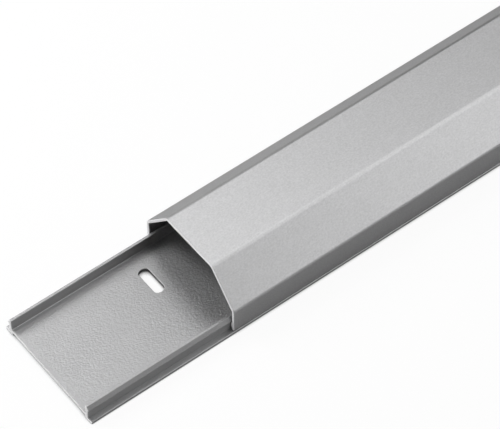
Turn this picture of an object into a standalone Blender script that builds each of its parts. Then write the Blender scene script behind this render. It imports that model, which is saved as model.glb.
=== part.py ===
"""Two-piece angular aluminium cable duct, 50 x 26 mm: a base strip and the cover that clips over it.

The duct lies along X on the underside of its base. The origin is on the floor, at the middle of the
whole box. The cover is drawn slid back from the near end, which bares a short length of the base,
so it overhangs the far end by as much. Sections are drawn as (y, z) and run along X.
"""
from math import atan2, pi, sin, tan

import bmesh
import bpy
from mathutils import Matrix, Vector

MM = 0.001

# The run of duct
LENGTH = 1100 * MM
COVER_SET_BACK = 60 * MM
NEAR_END = -(LENGTH + COVER_SET_BACK) / 2
CLEARANCE = 0.3 * MM

# The base: a plate held up between two ribs, with a flange along each side
BASE_HALF_WIDTH = 25.0 * MM
FLANGE_THICKNESS = 1.1 * MM
PLATE_UNDERSIDE = 1.4 * MM
PLATE_TOP = 2.6 * MM
RECESS_HALF_WIDTH = 21.0 * MM
RIB_INNER = 21.5 * MM
RIB_OUTER = 22.8 * MM
RIB_TOP = 7.5 * MM
RIB_TOP_OUTER = 22.5 * MM
BARB_TIP = 23.4 * MM
BARB_HEIGHT = 5.6 * MM
BARB_UNDERSIDE = 5.2 * MM
EDGE_RADIUS = 0.2 * MM
OUTER_EDGE_RADIUS = 0.4 * MM
INNER_CORNER_RADIUS = 0.4 * MM

# The slots that the base is screwed down through
SLOT_WIDTH = 4.2 * MM
SLOT_LENGTH = 11.7 * MM
SLOT_END_RADIUS = 2.6 * MM
SLOT_OFFSET = 9.0 * MM
SLOT_COUNT = 5
SLOT_END_DISTANCE = 50 * MM
SLOT_PITCH = (LENGTH - 2 * SLOT_END_DISTANCE) / (SLOT_COUNT - 1)

# The cover: a flat top, two sloping sides and two upright walls that hook under the barbs
COVER_HALF_WIDTH = 24.8 * MM
COVER_WALL = 1.1 * MM
HEIGHT = 26.0 * MM
TOP_HALF_WIDTH = 12.9 * MM
WALL_BEND_HEIGHT = 12.1 * MM
BEND_RADIUS = 2.5 * MM
HOOK_TIP = RIB_OUTER + CLEARANCE
HOOK_LEDGE = BARB_UNDERSIDE - CLEARANCE
HOOK_FOOT = 3.0 * MM
COVER_FOOT = FLANGE_THICKNESS + CLEARANCE

ARC_STEP = pi / 20
SHARP_ANGLE = pi / 6

ALUMINIUM_GREY = (0.42, 0.42, 0.425, 1.0)
ROUGHNESS = 0.45
METALLIC = 0.8


def clear_scene():
    for obj in list(bpy.data.objects):
        bpy.data.objects.remove(obj, do_unlink=True)


def new_collection(name):
    collection = bpy.data.collections.new(name)
    bpy.context.scene.collection.children.link(collection)
    return collection


def anodised(name):
    material = bpy.data.materials.new(name)
    material.use_nodes = True
    shader = material.node_tree.nodes["Principled BSDF"]
    shader.inputs["Base Color"].default_value = ALUMINIUM_GREY
    shader.inputs["Roughness"].default_value = ROUGHNESS
    shader.inputs["Metallic"].default_value = METALLIC
    return material


def rounded(corners):
    """Closed outline through corners (x, y, radius), each with a radius turned on its own arc."""
    points = []
    for index, (x, y, radius) in enumerate(corners):
        corner = Vector((x, y))
        if radius == 0:
            points.append(corner)
            continue
        back = (Vector(corners[index - 1][:2]) - corner).normalized()
        ahead = (Vector(corners[(index + 1) % len(corners)][:2]) - corner).normalized()
        half_angle = back.angle(ahead) / 2
        centre = corner + (back + ahead).normalized() * radius / sin(half_angle)
        start = corner + back * radius / tan(half_angle) - centre
        end = corner + ahead * radius / tan(half_angle) - centre
        turn = start.angle_signed(end)
        steps = max(2, round(abs(turn) / ARC_STEP))
        for step in range(steps + 1):
            points.append(centre + Matrix.Rotation(-turn * step / steps, 2) @ start)
    return points


def both_sides(half):
    """Whole section from the corners of its +y half, listed from the middle out and back to it."""
    return half + [(-y, z, radius) for y, z, radius in reversed(half)]


def flat_solid(name, outline, thickness, matrix, collection):
    """Solid from a flat outline, thickened both ways from its plane and set in place by a matrix."""
    curve = bpy.data.curves.new(name, "CURVE")
    curve.dimensions = "2D"
    curve.fill_mode = "BOTH"
    curve.extrude = thickness / 2
    spline = curve.splines.new("POLY")
    spline.points.add(len(outline) - 1)
    for point, place in zip(spline.points, outline):
        point.co = (place.x, place.y, 0, 1)
    spline.use_cyclic_u = True
    drawing = bpy.data.objects.new(name + "_outline", curve)
    drawing.matrix_world = matrix
    collection.objects.link(drawing)
    bpy.context.view_layer.update()

    evaluated = drawing.evaluated_get(bpy.context.evaluated_depsgraph_get())
    mesh = bpy.data.meshes.new_from_object(evaluated)
    mesh.name = name
    bm = bmesh.new()
    bm.from_mesh(mesh)
    bmesh.ops.remove_doubles(bm, verts=bm.verts, dist=0.00001)
    bmesh.ops.recalc_face_normals(bm, faces=bm.faces)
    bm.to_mesh(mesh)
    bm.free()
    solid = bpy.data.objects.new(name, mesh)
    solid.matrix_world = matrix
    collection.objects.link(solid)
    bpy.data.objects.remove(drawing, do_unlink=True)
    return solid


def extrusion(name, section, start, collection):
    """Length of duct with a (y, z) section, from x = start to x = start + LENGTH."""
    place = Matrix.Translation((start + LENGTH / 2, 0, 0))
    stand_up = Matrix(((0, 0, 1, 0), (1, 0, 0, 0), (0, 1, 0, 0), (0, 0, 0, 1)))
    solid = flat_solid(name, section, LENGTH, place @ stand_up, collection)
    solid.data.shade_smooth()
    solid.data.set_sharp_from_angle(angle=SHARP_ANGLE)
    return solid


def keep_flats_flat(solid):
    """Shade the bends round and the broad faces flat, by weighing the normals by face area."""
    weighting = solid.modifiers.new("face_area_shading", "WEIGHTED_NORMAL")
    weighting.keep_sharp = True


def base_section():
    half = [
        (RECESS_HALF_WIDTH, PLATE_UNDERSIDE, EDGE_RADIUS),
        (RECESS_HALF_WIDTH, 0, EDGE_RADIUS),
        (BASE_HALF_WIDTH, 0, EDGE_RADIUS),
        (BASE_HALF_WIDTH, FLANGE_THICKNESS, OUTER_EDGE_RADIUS),
        (RIB_OUTER, FLANGE_THICKNESS, EDGE_RADIUS),
        (RIB_OUTER, BARB_UNDERSIDE, 0),
        (BARB_TIP, BARB_HEIGHT, EDGE_RADIUS),
        (RIB_TOP_OUTER, RIB_TOP, EDGE_RADIUS),
        (RIB_INNER, RIB_TOP, EDGE_RADIUS),
        (RIB_INNER, PLATE_TOP, INNER_CORNER_RADIUS),
    ]
    return rounded(both_sides(half))


def cover_section():
    slope = atan2(HEIGHT - WALL_BEND_HEIGHT, COVER_HALF_WIDTH - TOP_HALF_WIDTH)
    inner_radius = BEND_RADIUS - COVER_WALL
    inner_top = TOP_HALF_WIDTH - COVER_WALL * tan(slope / 2)
    inner_bend = WALL_BEND_HEIGHT - COVER_WALL * tan((pi / 2 - slope) / 2)
    inner_wall = COVER_HALF_WIDTH - COVER_WALL
    half = [
        (inner_top, HEIGHT - COVER_WALL, inner_radius),
        (inner_wall, inner_bend, inner_radius),
        (inner_wall, HOOK_LEDGE + (inner_wall - HOOK_TIP) / 2, 0),
        (HOOK_TIP, HOOK_LEDGE, EDGE_RADIUS),
        (HOOK_TIP, HOOK_FOOT, EDGE_RADIUS),
        (inner_wall, COVER_FOOT, 0),
        (COVER_HALF_WIDTH, COVER_FOOT, OUTER_EDGE_RADIUS),
        (COVER_HALF_WIDTH, WALL_BEND_HEIGHT, BEND_RADIUS),
        (TOP_HALF_WIDTH, HEIGHT, BEND_RADIUS),
    ]
    return rounded(both_sides(half))


def slot_outline():
    """Oblong across the duct, with ends a little flatter than half rounds."""
    half_width = SLOT_WIDTH / 2
    end_centre = SLOT_LENGTH / 2 - SLOT_END_RADIUS
    half_turn = atan2(half_width, (SLOT_END_RADIUS**2 - half_width**2) ** 0.5)
    steps = max(2, round(2 * half_turn / ARC_STEP))
    spoke = Vector((0, SLOT_END_RADIUS))
    end = []
    for step in range(steps + 1):
        angle = half_turn * (2 * step / steps - 1)
        end.append(Vector((0, end_centre)) + Matrix.Rotation(angle, 2) @ spoke)
    return end + [-point for point in end]


def cut_slots(base, cutters):
    """Screw slots at an even pitch, to one side of the middle and the other in turn."""
    for number in range(SLOT_COUNT):
        x = NEAR_END + SLOT_END_DISTANCE + number * SLOT_PITCH
        y = SLOT_OFFSET if number % 2 == 0 else -SLOT_OFFSET
        place = Matrix.Translation((x, y, 0))
        cutter = flat_solid(f"slot_{number + 1}", slot_outline(), 4 * PLATE_TOP, place, cutters)
        cutter.display_type = "WIRE"
        cutter.hide_render = True
        cut = base.modifiers.new(cutter.name, "BOOLEAN")
        cut.operation = "DIFFERENCE"
        cut.object = cutter


def build():
    clear_scene()
    duct = new_collection("cable_duct")
    cutters = new_collection("cutters")

    base = extrusion("base_strip", base_section(), NEAR_END, duct)
    base.data.materials.append(anodised("base_aluminium"))
    cut_slots(base, cutters)
    keep_flats_flat(base)

    cover = extrusion("clip_on_cover", cover_section(), NEAR_END + COVER_SET_BACK, duct)
    cover.data.materials.append(anodised("cover_aluminium"))
    keep_flats_flat(cover)


build()
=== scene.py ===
# %% [markdown]
# # An angular aluminium cable duct
#
# The duct is two lengths of extruded aluminium: a flat base strip that is screwed or taped down, and a
# roof-shaped cover that clips over it. This lesson dresses the measured solids of both: it draws each
# section again with finer bends and sawn ends, gives it a matt metal finish, and lights it for a picture.
#
# Everything is in metres. The duct lies along X, Z is up, and the origin is on the floor at the middle.

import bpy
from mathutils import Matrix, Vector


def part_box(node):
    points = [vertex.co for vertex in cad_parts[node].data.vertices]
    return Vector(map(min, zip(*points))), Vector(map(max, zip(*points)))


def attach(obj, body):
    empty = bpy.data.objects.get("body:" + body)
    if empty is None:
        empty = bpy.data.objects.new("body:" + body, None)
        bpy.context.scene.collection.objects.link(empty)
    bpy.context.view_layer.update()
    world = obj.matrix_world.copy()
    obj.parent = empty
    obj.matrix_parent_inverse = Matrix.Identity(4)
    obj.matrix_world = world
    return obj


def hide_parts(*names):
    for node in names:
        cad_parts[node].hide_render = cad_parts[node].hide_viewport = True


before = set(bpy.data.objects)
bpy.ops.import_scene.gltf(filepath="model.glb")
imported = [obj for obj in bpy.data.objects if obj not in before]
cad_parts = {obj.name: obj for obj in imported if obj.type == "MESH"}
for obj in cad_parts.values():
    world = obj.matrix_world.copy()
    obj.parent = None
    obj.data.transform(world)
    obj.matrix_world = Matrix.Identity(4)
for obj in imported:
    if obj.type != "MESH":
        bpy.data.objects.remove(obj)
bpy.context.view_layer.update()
base_low, base_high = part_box("base_strip")
cover_low, cover_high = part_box("clip_on_cover")
print("base from x =", round(base_low.x, 4), "to", round(base_high.x, 4))
print("cover from x =", round(cover_low.x, 4), "to", round(cover_high.x, 4))

# %% The modules and the unit
from math import atan2, cos, pi, radians, sin, tan

import bmesh
import bpy
from mathutils import Matrix, Vector

MM = 0.001

# %% [markdown]
# ## The camera
#
# The picture looks down on the near end of the duct with a long lens from about a metre away, so the
# edges run nearly parallel. A camera can be dragged into place by eye, but here its heading, its tilt and
# the point on the floor that it looks at are known, so its axes are worked out and put in its matrix.

# %% Aim the camera
HEADING = radians(53.06)
TILT_DOWN = radians(52.75)
ROLL = radians(-0.84)
AIM_PAST_END = 95.39 * MM
AIM_SIDEWAYS = 12.31 * MM
CAMERA_DISTANCE = 1080.95 * MM
LENS = 221.67
SENSOR_WIDTH = 36

aim = Vector((base_low.x + AIM_PAST_END, AIM_SIDEWAYS, 0))
forward = Vector((cos(HEADING) * cos(TILT_DOWN), sin(HEADING) * cos(TILT_DOWN), -sin(TILT_DOWN)))
level_right = Vector((sin(HEADING), -cos(HEADING), 0))
level_up = level_right.cross(forward)
right = level_right * cos(ROLL) + level_up * sin(ROLL)
up = level_up * cos(ROLL) - level_right * sin(ROLL)
place = aim - forward * CAMERA_DISTANCE

camera = bpy.data.objects.new("camera", bpy.data.cameras.new("camera"))
camera.data.lens = LENS
camera.data.sensor_width = SENSOR_WIDTH
camera.matrix_world = Matrix((
    (right.x, up.x, -forward.x, place.x),
    (right.y, up.y, -forward.y, place.y),
    (right.z, up.z, -forward.z, place.z),
    (0, 0, 0, 1),
))
bpy.context.scene.collection.objects.link(camera)
bpy.context.scene.camera = camera
print("camera stands", round(place.z, 3), "m above the floor")

# %% [markdown]
# ## Drawing an extrusion
#
# Aluminium is pushed hot through a steel die, so a length of it has one section from end to end. A curve
# with a bevel could follow that section, but a mesh gives control of every bend: half the section is drawn
# as a few corners, pulled out along X, and each long edge is bevelled to the radius that the die gives it.
# Both sections are symmetric, so the other half is a mirror image.

# %% Pull half a section out to its length
DEBURR = 0.12 * MM
TOUCHING = 0.001 * MM


def pull_out(corners, low, high):
    """A solid half section, open at the middle plane, a deburred edge short of each end."""
    bm = bmesh.new()
    start = low.x + DEBURR
    end = high.x - DEBURR
    outline = bm.faces.new([bm.verts.new((start, y, z)) for y, z in corners])
    pulled = bmesh.ops.extrude_face_region(bm, geom=[outline])["geom"]
    far_end = [v for v in pulled if isinstance(v, bmesh.types.BMVert)]
    bmesh.ops.translate(bm, verts=far_end, vec=(end - start, 0, 0))
    middle = [f for f in bm.faces if all(abs(v.co.y) < TOUCHING for v in f.verts)]
    bmesh.ops.delete(bm, geom=middle, context="FACES_ONLY")
    bmesh.ops.recalc_face_normals(bm, faces=bm.faces)
    return bm


# %% [markdown]
# Bevel asks for the distance from the old corner to the new edge. A round of a given radius needs the
# radius times the tangent of half the angle that the metal turns through, which the edge can tell.

# %% Round one long edge
def round_edge(bm, corner, radius, segments):
    """Turns the edge that runs along X through a (y, z) corner into a round of that radius."""
    y, z = corner
    found = [
        e for e in bm.edges
        if all(abs(v.co.y - y) < TOUCHING and abs(v.co.z - z) < TOUCHING for v in e.verts)
    ]
    turn = found[0].calc_face_angle()
    bmesh.ops.bevel(
        bm, geom=found, offset=radius * tan(turn / 2), offset_type="OFFSET",
        segments=segments, profile=0.5, affect="EDGES", material=-1, clamp_overlap=False,
    )


# %% Mirror the half and finish the two ends
FINISH, SAWN, PUNCHED = 0, 1, 2
SQUARE_TO_X = 0.99


def mirror_and_saw(bm):
    """Makes the half whole, then takes the burr off both ends with a fine chamfer."""
    everything = bm.verts[:] + bm.edges[:] + bm.faces[:]
    bmesh.ops.mirror(bm, geom=everything, axis="Y", matrix=Matrix.Identity(4), merge_dist=TOUCHING)
    bmesh.ops.remove_doubles(bm, verts=bm.verts, dist=TOUCHING)
    seam = [e for e in bm.edges if all(abs(v.co.y) < TOUCHING for v in e.verts)]
    bmesh.ops.dissolve_edges(bm, edges=seam, use_verts=False)
    bmesh.ops.recalc_face_normals(bm, faces=bm.faces)
    ends = [f for f in bm.faces if abs(f.normal.x) > SQUARE_TO_X]
    for end in ends:
        end.material_index = SAWN
    ring = bmesh.ops.inset_region(
        bm, faces=ends, thickness=DEBURR, depth=DEBURR, use_boundary=True, use_even_offset=True,
    )["faces"]
    for chamfer in ring:
        chamfer.material_index = SAWN
    print("ends sawn:", len(ends), "faces in the chamfers:", len(ring))


# %% Hand a finished mesh over to the scene
SHARP_ANGLE = radians(30)


def finished(bm, name, materials):
    """Object made of the mesh, with flat faces kept flat and bends shaded round."""
    mesh = bpy.data.meshes.new(name)
    bm.to_mesh(mesh)
    bm.free()
    mesh.shade_smooth()
    mesh.set_sharp_from_angle(angle=SHARP_ANGLE)
    for material in materials:
        mesh.materials.append(material)
    piece = bpy.data.objects.new(name, mesh)
    bpy.context.scene.collection.objects.link(piece)
    shading = piece.modifiers.new("face_area_shading", "WEIGHTED_NORMAL")
    shading.keep_sharp = True
    print(name, "has", len(mesh.polygons), "faces")
    return piece


# %% [markdown]
# ## The finish
#
# Ducts of this kind are anodised matt: the metal is etched before it is anodised, which leaves a fine grain
# that scatters light, so a bend shows a soft band of sheen and no mirror image. A picture of such a surface
# could be wrapped round the metal, but noise made from the place of each point has no seams and stays
# sharp however close the camera comes. The grain is used by every surface here, so it is a group.

# %% Wire up shader nodes
def add_node(tree, kind, inputs, **settings):
    """Makes a node. Each input, by name or number, is given a value or wired to a socket."""
    made = tree.nodes.new(kind)
    for name, value in settings.items():
        setattr(made, name, value)
    for key, value in inputs.items():
        if isinstance(value, bpy.types.NodeSocket):
            tree.links.new(value, made.inputs[key])
        else:
            made.inputs[key].default_value = value
    return made


def calculate(tree, operation, *values):
    return add_node(tree, "ShaderNodeMath", dict(enumerate(values)), operation=operation).outputs[0]


def new_group(name, inputs, outputs):
    """Empty group with number inputs and outputs, and its two end nodes."""
    group = bpy.data.node_groups.new(name, "ShaderNodeTree")
    for label in inputs:
        group.interface.new_socket(label, in_out="INPUT", socket_type="NodeSocketFloat")
    for label in outputs:
        group.interface.new_socket(label, in_out="OUTPUT", socket_type="NodeSocketFloat")
    return group, group.nodes.new("NodeGroupInput").outputs, group.nodes.new("NodeGroupOutput").inputs


# %% [markdown]
# The grain is noise, stretched a little along the duct because the die drags the metal that way. A
# coarser noise under it makes the faint clouds that etching leaves. The group gives a tone near 1 to
# multiply the colour with, and a height for the bump. Noise lies round 0.5, so it is brought to 0 first.

# %% Swing a tone up and down
NOISE_MIDDLE = 0.5


def swing(tree, noise, spread):
    """Noise turned into a change of tone, up and down from 0."""
    return calculate(tree, "MULTIPLY", calculate(tree, "SUBTRACT", noise, NOISE_MIDDLE), spread)


# %% A group for etched grain
GRAINS_PER_CLOUD = 9.0


def etched_grain():
    group, given, result = new_group(
        "etched_grain",
        ("Grains per Metre", "Stretch", "Tone Spread", "Cloud Spread"),
        ("Tone", "Height"),
    )
    place = add_node(group, "ShaderNodeTexCoord", {}).outputs["Object"]
    along = calculate(group, "DIVIDE", 1.0, given["Stretch"])
    squeeze = add_node(group, "ShaderNodeCombineXYZ", {"X": along, "Y": 1.0, "Z": 1.0}).outputs[0]
    drawn = add_node(
        group, "ShaderNodeVectorMath", {0: place, 1: squeeze}, operation="MULTIPLY"
    ).outputs[0]
    grain = add_node(
        group, "ShaderNodeTexNoise",
        {"Vector": drawn, "Scale": given["Grains per Metre"], "Detail": 1.5, "Roughness": 0.6},
    ).outputs["Fac"]
    cloud_scale = calculate(group, "DIVIDE", given["Grains per Metre"], GRAINS_PER_CLOUD)
    cloud = add_node(
        group, "ShaderNodeTexNoise",
        {"Vector": drawn, "Scale": cloud_scale, "Detail": 2.0, "Roughness": 0.5},
    ).outputs["Fac"]
    grainy = calculate(group, "ADD", 1.0, swing(group, grain, given["Tone Spread"]))
    tone = calculate(group, "ADD", grainy, swing(group, cloud, given["Cloud Spread"]))
    group.links.new(tone, result["Tone"])
    group.links.new(grain, result["Height"])
    return group


GRAIN = etched_grain()
print(GRAIN.name, "has", len(GRAIN.nodes), "nodes")

# %% [markdown]
# Every metal here is the same shader with another texture. The texture's tone scales the colour, and its
# height raises and sinks the surface by less than a tenth of a millimetre. What is the same all over,
# such as the roughness, is set on the shader itself. The base is etched more deeply than the cover, which
# shows as an orange-peel look where its plate darkens towards the mouth.

# %% Metal with a texture
def new_metal(name, roughness, metallic):
    material = bpy.data.materials.new(name)
    material.use_nodes = True
    shader = material.node_tree.nodes["Principled BSDF"]
    shader.inputs["Roughness"].default_value = roughness
    shader.inputs["Metallic"].default_value = metallic
    return material


def wear(material, texture, colour, depth):
    """Lets a group's Tone scale the colour, and its Height move the surface by up to that depth."""
    tree = material.node_tree
    shader = tree.nodes["Principled BSDF"]
    tone, height = texture.outputs["Tone"], texture.outputs["Height"]
    grey = add_node(tree, "ShaderNodeVectorMath", {0: colour, "Scale": tone}, operation="SCALE")
    bump = add_node(tree, "ShaderNodeBump", {"Height": height, "Strength": 1.0, "Distance": depth})
    tree.links.new(grey.outputs[0], shader.inputs["Base Color"])
    tree.links.new(bump.outputs["Normal"], shader.inputs["Normal"])
    print(material.name, "colour", colour)


# %% Matt anodised metal
ANODISED_METALLIC = 0.9


def anodised(name, colour, roughness, grain_size, stretch, spread, cloud, depth):
    """Satin metal whose colour and surface carry the grain."""
    material = new_metal(name, roughness, ANODISED_METALLIC)
    grain = add_node(
        material.node_tree, "ShaderNodeGroup",
        {
            "Grains per Metre": 1 / grain_size,
            "Stretch": stretch,
            "Tone Spread": spread,
            "Cloud Spread": cloud,
        },
        node_tree=GRAIN,
    )
    wear(material, grain, colour, depth)
    return material


cover_finish = anodised(
    "cover_matt_anodised", colour=(0.535, 0.535, 0.54), roughness=0.38,
    grain_size=0.55 * MM, stretch=1.3, spread=0.4, cloud=0.06, depth=0.012 * MM,
)
base_finish = anodised(
    "base_matt_anodised", colour=(0.43, 0.43, 0.434), roughness=0.48,
    grain_size=0.6 * MM, stretch=1.5, spread=0.1, cloud=0.06, depth=0.15 * MM,
)

# %% [markdown]
# Where a tool has been, the metal is bare and carries the tool's marks. A circular saw leaves fine arcs
# round the middle of its blade, and a punch leaves upright scratches. Both are lines at equal distance
# from something, a point above the duct or an upright plane, so one group turns a distance into marks.
# The punched walls are coloured much darker than the sawn metal, as painted shade inside the slots.

# %% A group for tool marks
def tool_marks():
    group, given, result = new_group(
        "tool_marks", ("Distance", "Marks per Metre", "Tone Spread"), ("Tone", "Height")
    )
    turns = calculate(group, "MULTIPLY", given["Distance"], given["Marks per Metre"])
    marks = add_node(
        group, "ShaderNodeTexNoise", {"W": turns, "Scale": 1.0, "Detail": 2.0}, noise_dimensions="1D"
    ).outputs["Fac"]
    tone = calculate(group, "ADD", 1.0, swing(group, marks, given["Tone Spread"]))
    group.links.new(tone, result["Tone"])
    group.links.new(marks, result["Height"])
    return group


MARKS = tool_marks()
print(MARKS.name, "has", len(MARKS.nodes), "nodes")

# %% Metal with tool marks
def tooled(name, colour, roughness, metallic, operation, guide, mark_size, spread, depth):
    """Bare metal, marked along the distance that a vector operation works out from place and guide."""
    material = new_metal(name, roughness, metallic)
    tree = material.node_tree
    place = add_node(tree, "ShaderNodeTexCoord", {}).outputs["Object"]
    distance = add_node(
        tree, "ShaderNodeVectorMath", {0: place, 1: guide}, operation=operation
    ).outputs["Value"]
    marks = add_node(
        tree, "ShaderNodeGroup",
        {"Distance": distance, "Marks per Metre": 1 / mark_size, "Tone Spread": spread},
        node_tree=MARKS,
    )
    wear(material, marks, colour, depth)
    return material


# %% The sawn and the punched metal
BLADE_HEIGHT = 160 * MM
LEVEL_DIRECTION = (0.8, 0.6, 0)

sawn_finish = tooled(
    "sawn_aluminium", colour=(0.76, 0.76, 0.765), roughness=0.65, metallic=0.25,
    operation="DISTANCE", guide=(base_low.x, 0, BLADE_HEIGHT),
    mark_size=0.3 * MM, spread=0.4, depth=0.015 * MM,
)
# painted shade: the slot walls get a dark colour that stands in for the shade inside the slots; the upright
# scratches are real tool marks
punched_finish_painted_shade = tooled(
    "punched_aluminium_painted_shade", colour=(0.3, 0.3, 0.304), roughness=0.3, metallic=0.9,
    operation="DOT_PRODUCT", guide=LEVEL_DIRECTION,
    mark_size=0.25 * MM, spread=0.4, depth=0.01 * MM,
)

# %% [markdown]
# ## The cover
#
# A flat top, two slopes and two upright walls, all 1.1 mm thick. Inside each foot a rounded nose
# hooks under the barb on the base's rib.

# %% Sizes of the cover's section
COVER_WALL = 1.1 * MM
TOP_HALF_WIDTH = 12.9 * MM
WALL_BEND_HEIGHT = 12.1 * MM
BEND_RADIUS = 2.1 * MM
HOOK_TIP = 23.1 * MM
HOOK_LEDGE = 4.9 * MM
HOOK_FOOT = 3.0 * MM
FINE_RADIUS = 0.2 * MM
OUTER_EDGE_RADIUS = 0.4 * MM
BEND_STEPS = 12
INNER_BEND_STEPS = 8
EDGE_STEPS = 5
FINE_STEPS = 4

half_width = cover_high.y
height = cover_high.z
foot = cover_low.z
slope = atan2(height - WALL_BEND_HEIGHT, half_width - TOP_HALF_WIDTH)
inner_top = TOP_HALF_WIDTH - COVER_WALL * tan(slope / 2)
inner_bend = WALL_BEND_HEIGHT - COVER_WALL * tan((pi / 2 - slope) / 2)
inner_wall = half_width - COVER_WALL
print("slope", round(slope * 180 / pi, 1), "degrees")

# %% Model the cover
roof_corners = [(TOP_HALF_WIDTH, height), (half_width, WALL_BEND_HEIGHT)]
roof_inner_corners = [(inner_top, height - COVER_WALL), (inner_wall, inner_bend)]
hook_corners = [(HOOK_TIP, HOOK_LEDGE), (HOOK_TIP, HOOK_FOOT)]
hook_roots = [(inner_wall, HOOK_LEDGE + (inner_wall - HOOK_TIP) / 2), (inner_wall, foot)]

cover_bm = pull_out(
    [(0, height), *roof_corners, (half_width, foot), hook_roots[1], hook_corners[1],
     hook_corners[0], hook_roots[0], *reversed(roof_inner_corners), (0, height - COVER_WALL)],
    cover_low, cover_high,
)
for corner in roof_corners:
    round_edge(cover_bm, corner, BEND_RADIUS, BEND_STEPS)
for corner in roof_inner_corners:
    round_edge(cover_bm, corner, BEND_RADIUS - COVER_WALL, INNER_BEND_STEPS)
for corner in hook_corners:
    round_edge(cover_bm, corner, FINE_RADIUS, FINE_STEPS)
round_edge(cover_bm, (half_width, foot), OUTER_EDGE_RADIUS, EDGE_STEPS)
mirror_and_saw(cover_bm)
cover = finished(cover_bm, "anodised_cover", [cover_finish, sawn_finish])
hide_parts("clip_on_cover")
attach(cover, "cover")

# %% [markdown]
# ## The base strip
#
# The base lies on two feet, with a raised plate between them that leaves a shallow recess for
# adhesive tape. A rib along each side carries a barb for the cover's hook.

# %% Sizes of the base's section
FLANGE_THICKNESS = 1.1 * MM
PLATE_UNDERSIDE = 1.4 * MM
PLATE_TOP = 2.6 * MM
RECESS_HALF_WIDTH = 21.0 * MM
RIB_INNER = 21.5 * MM
RIB_OUTER = 22.8 * MM
RIB_TOP_OUTER = 22.5 * MM
BARB_TIP = 23.4 * MM
BARB_HEIGHT = 5.6 * MM
BARB_UNDERSIDE = 5.2 * MM
INNER_CORNER_RADIUS = 0.4 * MM

base_half_width = base_high.y
rib_top = base_high.z

# %% Model the base
recess_corners = [(RECESS_HALF_WIDTH, PLATE_UNDERSIDE), (RECESS_HALF_WIDTH, 0)]
flange_foot = (base_half_width, 0)
flange_edge = (base_half_width, FLANGE_THICKNESS)
rib_foot = (RIB_OUTER, FLANGE_THICKNESS)
barb_root = (RIB_OUTER, BARB_UNDERSIDE)
barb_tip = (BARB_TIP, BARB_HEIGHT)
rib_corners = [(RIB_TOP_OUTER, rib_top), (RIB_INNER, rib_top)]
inner_corner = (RIB_INNER, PLATE_TOP)

base_bm = pull_out(
    [(0, PLATE_UNDERSIDE), *recess_corners, flange_foot, flange_edge, rib_foot, barb_root, barb_tip,
     *rib_corners, inner_corner, (0, PLATE_TOP)],
    base_low, base_high,
)
for corner in [*recess_corners, flange_foot, barb_tip, *rib_corners]:
    round_edge(base_bm, corner, FINE_RADIUS, FINE_STEPS)
round_edge(base_bm, flange_edge, OUTER_EDGE_RADIUS, EDGE_STEPS)
round_edge(base_bm, inner_corner, INNER_CORNER_RADIUS, EDGE_STEPS)
mirror_and_saw(base_bm)

# %% [markdown]
# ## The screw slots
#
# The slots are punched through the plate after extrusion. The punch draws the upper rim down into a
# round, scrapes the wall and leaves a small burr on the underside. A Boolean would cut a plain hole.
# Opening both faces of the plate and bridging loops between them gives each of these its own edge.

# %% Draw the loops of a slot
SLOT_WIDTH = 4.2 * MM
SLOT_LENGTH = 11.7 * MM
SLOT_END_DEPTH = 1.6 * MM
SLOT_STEPS = 32


def slot_loop(bm, x, y, z, grow=0.0):
    """Edges of an oblong across the duct: a circle, pulled apart into two flattened ends."""
    radius = SLOT_WIDTH / 2 + grow
    ring = bmesh.ops.create_circle(bm, cap_ends=False, radius=radius, segments=SLOT_STEPS)["verts"]
    bmesh.ops.rotate(bm, verts=ring, matrix=Matrix.Rotation(pi / SLOT_STEPS, 3, "Z"))
    bmesh.ops.scale(bm, verts=ring, vec=(1, (SLOT_END_DEPTH + grow) / radius, 1))
    straight = SLOT_LENGTH / 2 - SLOT_END_DEPTH
    for side in (1, -1):
        half = [v for v in ring if v.co.y * side > 0]
        bmesh.ops.translate(bm, verts=half, vec=(0, side * straight, 0))
    bmesh.ops.translate(bm, verts=ring, vec=(x, y, z))
    return list({e for v in ring for e in v.link_edges})


# %% Punch a slot
SLOT_ROOM = 12 * MM
BURR_HEIGHT = 0.25 * MM
BURR_WIDTH = 0.2 * MM
RIM_RADIUS = 0.2 * MM
RIM_STEPS = 3


def open_plate(bm, x, y, z, grow):
    """Cuts an oblong out of the plate's face at one height and fills the face again round it."""
    plate = [
        f for f in bm.faces
        if all(abs(v.co.z - z) < TOUCHING and abs(v.co.x - x) < SLOT_ROOM + TOUCHING for v in f.verts)
    ]
    around = list(plate[0].edges)
    bmesh.ops.delete(bm, geom=plate, context="FACES_ONLY")
    loop = slot_loop(bm, x, y, z, grow)
    bmesh.ops.triangle_fill(bm, edges=around + loop, use_beauty=True)
    return loop


def punch(bm, x, y):
    """Makes one slot in the plate, with a rounded rim above and a burr below."""
    for side in (-1, 1):
        bmesh.ops.bisect_plane(
            bm, geom=bm.verts[:] + bm.edges[:] + bm.faces[:],
            plane_co=(x + side * SLOT_ROOM, 0, 0), plane_no=(1, 0, 0), dist=TOUCHING / 10,
        )
    upper = open_plate(bm, x, y, PLATE_TOP, 0.0)
    lower = open_plate(bm, x, y, PLATE_UNDERSIDE, BURR_WIDTH)
    burr = slot_loop(bm, x, y, PLATE_UNDERSIDE - BURR_HEIGHT)
    wall = bmesh.ops.bridge_loops(bm, edges=upper + burr)["faces"]
    lip = bmesh.ops.bridge_loops(bm, edges=burr + lower)["faces"]
    for face in wall + lip:
        face.material_index = PUNCHED
    bmesh.ops.bevel(
        bm, geom=upper, offset=RIM_RADIUS, offset_type="OFFSET", segments=RIM_STEPS,
        profile=0.5, affect="EDGES", material=FINISH, clamp_overlap=False,
    )


# %% Punch them all
SLOT_OFFSET = 9.0 * MM
SLOT_COUNT = 5
SLOT_END_DISTANCE = 50 * MM
slot_pitch = (base_high.x - base_low.x - 2 * SLOT_END_DISTANCE) / (SLOT_COUNT - 1)

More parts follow.
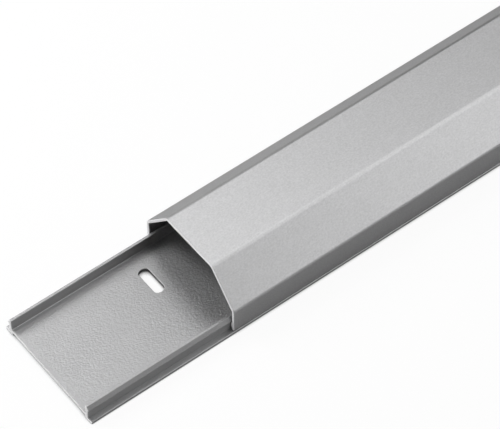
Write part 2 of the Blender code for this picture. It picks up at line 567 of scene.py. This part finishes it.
for number in range(SLOT_COUNT):
    slot_x = base_low.x + SLOT_END_DISTANCE + number * slot_pitch
    slot_y = SLOT_OFFSET if number % 2 == 0 else -SLOT_OFFSET
    punch(base_bm, slot_x, slot_y)
    print("slot at", round(slot_x, 3), round(slot_y, 3))
bmesh.ops.recalc_face_normals(base_bm, faces=base_bm.faces)
base = finished(base_bm, "anodised_base", [base_finish, sawn_finish, punched_finish_painted_shade])
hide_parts("base_strip")
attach(base, "base")

# %% [markdown]
# ## The floor
#
# The duct lies on a plain pale floor. A white floor in front of metal would be mirrored in the duct's
# walls and wash out its form, so in a studio grey card is laid where only the metal sees it. Light Path
# tells the two kinds of ray apart: the camera is shown a floor that glows, and the metal a grey one. An
# Ambient Occlusion node takes that glowing light away wherever metal hangs close over the floor, or it
# would shine out from under the raised plate. So the floor carries painted shade: a painted contact
# shadow along the duct's feet, and painted shade under the plate, also where it shows through the slots.

# %% Lay the floor
FLOOR_SIZE = 60
FLOOR_GLOW = 0.93
FLOOR_SHADE = 0.06
FLOOR_MIRRORED = 0.44
# SHADE_REACH and the two limits below set the painted shade that the Ambient Occlusion node cuts into the
# floor's light
SHADE_REACH = 3 * MM
SHADED_BELOW = 0.3
OPEN_ABOVE = 0.68


def pale_floor():
    """White to the camera where it lies open, with painted shade where metal hangs close; grey to the metal
    that mirrors it.
    """
    material = bpy.data.materials.new("pale_floor")
    material.use_nodes = True
    tree = material.node_tree
    shader = tree.nodes["Principled BSDF"]
    seen = tree.nodes.new("ShaderNodeLightPath").outputs["Is Camera Ray"]
    albedo = add_node(
        tree, "ShaderNodeMapRange", {"Value": seen, "To Min": FLOOR_MIRRORED, "To Max": FLOOR_SHADE}
    ).outputs[0]
    tree.links.new(albedo, shader.inputs["Base Color"])
    # painted shade: the floor's light fades out for the camera wherever metal hangs within SHADE_REACH
    # above it
    room_above = add_node(tree, "ShaderNodeAmbientOcclusion", {"Distance": SHADE_REACH}).outputs["AO"]
    glow_left_by_painted_shade = add_node(
        tree, "ShaderNodeMapRange",
        {"Value": room_above, "From Min": SHADED_BELOW, "From Max": OPEN_ABOVE},
    ).outputs[0]
    glow_with_painted_shade = calculate(tree, "MULTIPLY", calculate(tree, "MULTIPLY", seen, glow_left_by_painted_shade), FLOOR_GLOW)
    shader.inputs["Emission Color"].default_value = (1, 1, 1, 1)
    tree.links.new(glow_with_painted_shade, shader.inputs["Emission Strength"])
    shader.inputs["Roughness"].default_value = 1.0
    shader.inputs["Specular IOR Level"].default_value = 0.0
    return material


floor_bm = bmesh.new()
bmesh.ops.create_grid(floor_bm, x_segments=1, y_segments=1, size=FLOOR_SIZE / 2)
floor_mesh = bpy.data.meshes.new("studio_floor")
floor_bm.to_mesh(floor_mesh)
floor_bm.free()
floor = bpy.data.objects.new("studio_floor", floor_mesh)
bpy.context.scene.collection.objects.link(floor)
floor_mesh.materials.append(pale_floor())

# %% [markdown]
# ## The light
#
# Metal shows what is round it more than what shines on it. A long bar is therefore shot in a tunnel of
# white panels that lie along it: each facet mirrors one panel from end to end, and a bend sweeps over
# several. The angles below go round the duct, from the floor behind it at 0, over the top at 90, to the
# floor in front at 180. The panels over the middle are the brightest at the top, and those over the far
# half are brightest in front, which lets the flat top fade and the slope brighten along the duct.

# %% Hang the panels
REACH = 1.2


def softbox(name, place, aim_at, length, width, brightness):
    """Soft rectangular light at a place, its long side level, facing a point."""
    light = bpy.data.lights.new(name, "AREA")
    light.shape = "RECTANGLE"
    light.size = length
    light.size_y = width
    light.energy = pi * length * width * brightness
    away = (place - aim_at).normalized()
    along = (Vector((1, 0, 0)) - away * away.x).normalized()
    across = away.cross(along)
    hung = bpy.data.objects.new(name, light)
    hung.matrix_world = Matrix((
        (along.x, across.x, away.x, place.x),
        (along.y, across.y, away.y, place.y),
        (along.z, across.z, away.z, place.z),
        (0, 0, 0, 1),
    ))
    hung.visible_camera = False
    bpy.context.scene.collection.objects.link(hung)


# name: angle round the duct, where it starts and ends along X, how many degrees wide, brightness
PANELS = {
    "near_top": (60, -0.8, -0.4, 48, 0.45),
    "middle_back": (24, -0.4, 0.0, 48, 0.65),
    "middle_top": (72, -0.4, 0.0, 48, 1.97),
    "middle_bend": (114, -0.4, 0.0, 36, 1.1),
    "middle_front": (156, -0.4, 0.0, 48, 0.82),
    "far_back": (42, 0.0, 1.2, 36, 0.14),
    "far_top": (84, 0.0, 1.2, 48, 1.12),
    "far_bend": (126, 0.0, 1.2, 36, 1.6),
    "far_front": (162, 0.0, 1.2, 36, 1.44),
}
for name, (angle, x_low, x_high, spread, brightness) in PANELS.items():
    middle = (x_low + x_high) / 2
    turned = radians(angle)
    softbox(
        name, Vector((middle, REACH * cos(turned), REACH * sin(turned))), Vector((middle, 0, 0)),
        x_high - x_low, 2 * REACH * tan(radians(spread / 2)), brightness,
    )
print("panels:", len(PANELS))

# %% [markdown]
# The sawn ends face away from the tunnel, so two smaller softboxes stand off the near end. One looks along
# the duct and picks out the ends and the mouth of the cover. The other stands behind, where it lights the
# stretch of floor that the back slope mirrors.

# %% Light the near end
BOX_WIDTH_PER_DISTANCE = 0.5

# name: heading and rise in degrees, distance, brightness; each box is half as wide as it is far away
END_BOXES = {
    "along_the_duct": (180, 14, 0.9, 7.0),
    "behind_the_end": (112, 44, 0.45, 9.0),
}
near_end = Vector((base_low.x, 0, 0))
for name, (heading, rise, distance, brightness) in END_BOXES.items():
    level, lift = cos(radians(rise)), sin(radians(rise))
    towards = Vector((cos(radians(heading)) * level, sin(radians(heading)) * level, lift))
    size = BOX_WIDTH_PER_DISTANCE * distance
    softbox(name, near_end + distance * towards, near_end, size, size, brightness)
print("softboxes off the near end:", len(END_BOXES))

# %% [markdown]
# A faint, even sky keeps the hollows from going black. The picture is shown with the Standard view,
# because the usual one, AgX, holds whites back, and a pale floor would come out grey.

# %% Sky and view
SKY_STRENGTH = 0.02

world = bpy.data.worlds.new("studio")
world.use_nodes = True
sky = world.node_tree.nodes["Background"]
sky.inputs["Color"].default_value = (1, 1, 1, 1)
sky.inputs["Strength"].default_value = SKY_STRENGTH
bpy.context.scene.world = world
bpy.context.scene.view_settings.view_transform = "Standard"
